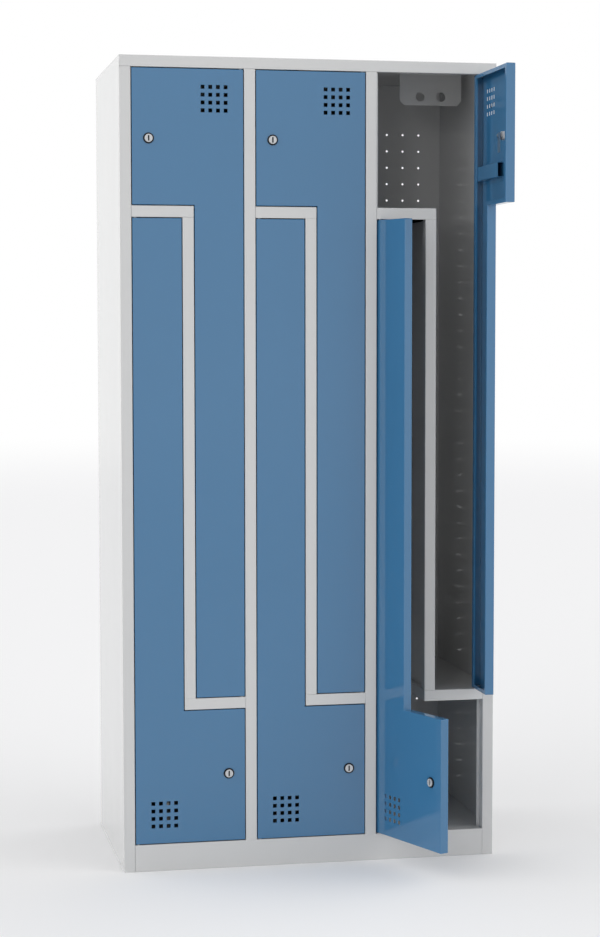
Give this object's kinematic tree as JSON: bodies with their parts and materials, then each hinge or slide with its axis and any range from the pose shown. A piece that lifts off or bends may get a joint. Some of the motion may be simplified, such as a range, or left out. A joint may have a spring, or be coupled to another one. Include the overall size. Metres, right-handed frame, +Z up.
{
  "type": "l-door locker",
  "caption": "Sheet-steel clothes locker with bays of paired L-shaped doors, cam locks, vents, inner shelves and hanger plates.",
  "frame": {"origin": "on the floor, mid-width, at the middle of the front plinth's foot flange", "axes": "+X to the right seen from the front, +Y from the front to the back, +Z up"},
  "size_m": [0.85, 0.715, 1.8],
  "materials": {
    "frame_paint": "gloss light grey powder coat",
    "door_paint": "gloss blue powder coat",
    "zinc_pin": "zinc plated",
    "lock_bezel": "black, satin",
    "lock_metal": "bright nickel"
  },
  "bodies": {
    "carcass": {"side_panel_left": "frame_paint", "side_panel_right": "frame_paint", "top_panel": "frame_paint", "plinth": "frame_paint", "floor_panel": "frame_paint", "back_panel": "frame_paint", "partition_1": "frame_paint", "partition_2": "frame_paint", "mid_divider_1": "frame_paint", "upper_shelf_1": "frame_paint", "lower_shelf_1": "frame_paint", "hanger_plate_upper_1": "frame_paint", "hanger_plate_lower_1": "frame_paint", "mid_divider_2": "frame_paint", "upper_shelf_2": "frame_paint", "lower_shelf_2": "frame_paint", "hanger_plate_upper_2": "frame_paint", "hanger_plate_lower_2": "frame_paint", "mid_divider_3": "frame_paint", "upper_shelf_3": "frame_paint", "lower_shelf_3": "frame_paint", "hanger_plate_upper_3": "frame_paint", "hanger_plate_lower_3": "frame_paint"},
    "door_leaf_upper_1": {"door_upper_1": "door_paint", "stiffener_upper_1": "door_paint", "pin_top_upper_1": "zinc_pin", "pin_bottom_upper_1": "zinc_pin", "lock_housing_upper_1": "lock_bezel"},
    "lock_upper_1": {"lock_plug_upper_1": "lock_metal"},
    "door_leaf_lower_1": {"door_lower_1": "door_paint", "stiffener_lower_1": "door_paint", "pin_top_lower_1": "zinc_pin", "pin_bottom_lower_1": "zinc_pin", "lock_housing_lower_1": "lock_bezel"},
    "lock_lower_1": {"lock_plug_lower_1": "lock_metal"},
    "door_leaf_upper_2": {"door_upper_2": "door_paint", "stiffener_upper_2": "door_paint", "pin_top_upper_2": "zinc_pin", "pin_bottom_upper_2": "zinc_pin", "lock_housing_upper_2": "lock_bezel"},
    "lock_upper_2": {"lock_plug_upper_2": "lock_metal"},
    "door_leaf_lower_2": {"door_lower_2": "door_paint", "stiffener_lower_2": "door_paint", "pin_top_lower_2": "zinc_pin", "pin_bottom_lower_2": "zinc_pin", "lock_housing_lower_2": "lock_bezel"},
    "lock_lower_2": {"lock_plug_lower_2": "lock_metal"},
    "door_leaf_upper_3": {"door_upper_3": "door_paint", "stiffener_upper_3": "door_paint", "pin_top_upper_3": "zinc_pin", "pin_bottom_upper_3": "zinc_pin", "lock_housing_upper_3": "lock_bezel"},
    "lock_upper_3": {"lock_plug_upper_3": "lock_metal"},
    "door_leaf_lower_3": {"door_lower_3": "door_paint", "stiffener_lower_3": "door_paint", "pin_top_lower_3": "zinc_pin", "pin_bottom_lower_3": "zinc_pin", "lock_housing_lower_3": "lock_bezel"},
    "lock_lower_3": {"lock_plug_lower_3": "lock_metal"}
  },
  "joints": [
    {"name": "door_upper_1_hinge", "type": "hinge", "parent": "carcass", "child": "door_leaf_upper_1", "pos_m": [-0.158, -0.015, 1.08], "axis": [0, 0, 1], "range_deg": [0, 95]},
    {"name": "lock_upper_1_turn", "type": "hinge", "parent": "door_leaf_upper_1", "child": "lock_upper_1", "pos_m": [-0.3615, -0.015, 1.621], "axis": [0, 1, 0], "range_deg": [0, 90]},
    {"name": "door_lower_1_hinge", "type": "hinge", "parent": "carcass", "child": "door_leaf_lower_1", "pos_m": [-0.392, -0.015, 0.755], "axis": [0, 0, -1], "range_deg": [0, 95]},
    {"name": "lock_lower_1_turn", "type": "hinge", "parent": "door_leaf_lower_1", "child": "lock_lower_1", "pos_m": [-0.1885, -0.015, 0.214], "axis": [0, -1, 0], "range_deg": [0, 90]},
    {"name": "door_upper_2_hinge", "type": "hinge", "parent": "carcass", "child": "door_leaf_upper_2", "pos_m": [0.117, -0.015, 1.08], "axis": [0, 0, 1], "range_deg": [0, 95]},
    {"name": "lock_upper_2_turn", "type": "hinge", "parent": "door_leaf_upper_2", "child": "lock_upper_2", "pos_m": [-0.0865, -0.015, 1.621], "axis": [0, 1, 0], "range_deg": [0, 90]},
    {"name": "door_lower_2_hinge", "type": "hinge", "parent": "carcass", "child": "door_leaf_lower_2", "pos_m": [-0.117, -0.015, 0.755], "axis": [0, 0, -1], "range_deg": [0, 95]},
    {"name": "lock_lower_2_turn", "type": "hinge", "parent": "door_leaf_lower_2", "child": "lock_lower_2", "pos_m": [0.0865, -0.015, 0.214], "axis": [0, -1, 0], "range_deg": [0, 90]},
    {"name": "door_upper_3_hinge", "type": "hinge", "parent": "carcass", "child": "door_leaf_upper_3", "pos_m": [0.392, -0.015, 1.08], "axis": [0, 0, 1], "range_deg": [-90, 5]},
    {"name": "lock_upper_3_turn", "type": "hinge", "parent": "door_leaf_upper_3", "child": "lock_upper_3", "pos_m": [0.392, -0.2185, 1.621], "axis": [-1, 0, 0], "range_deg": [0, 90]},
    {"name": "door_lower_3_hinge", "type": "hinge", "parent": "carcass", "child": "door_leaf_lower_3", "pos_m": [0.158, -0.015, 0.755], "axis": [0, 0, -1], "range_deg": [-68.2, 26.8]},
    {"name": "lock_lower_3_turn", "type": "hinge", "parent": "door_leaf_lower_3", "child": "lock_lower_3", "pos_m": [0.23357, -0.20395, 0.214], "axis": [-0.9285, -0.3714, 0], "range_deg": [0, 90]}
  ]
}
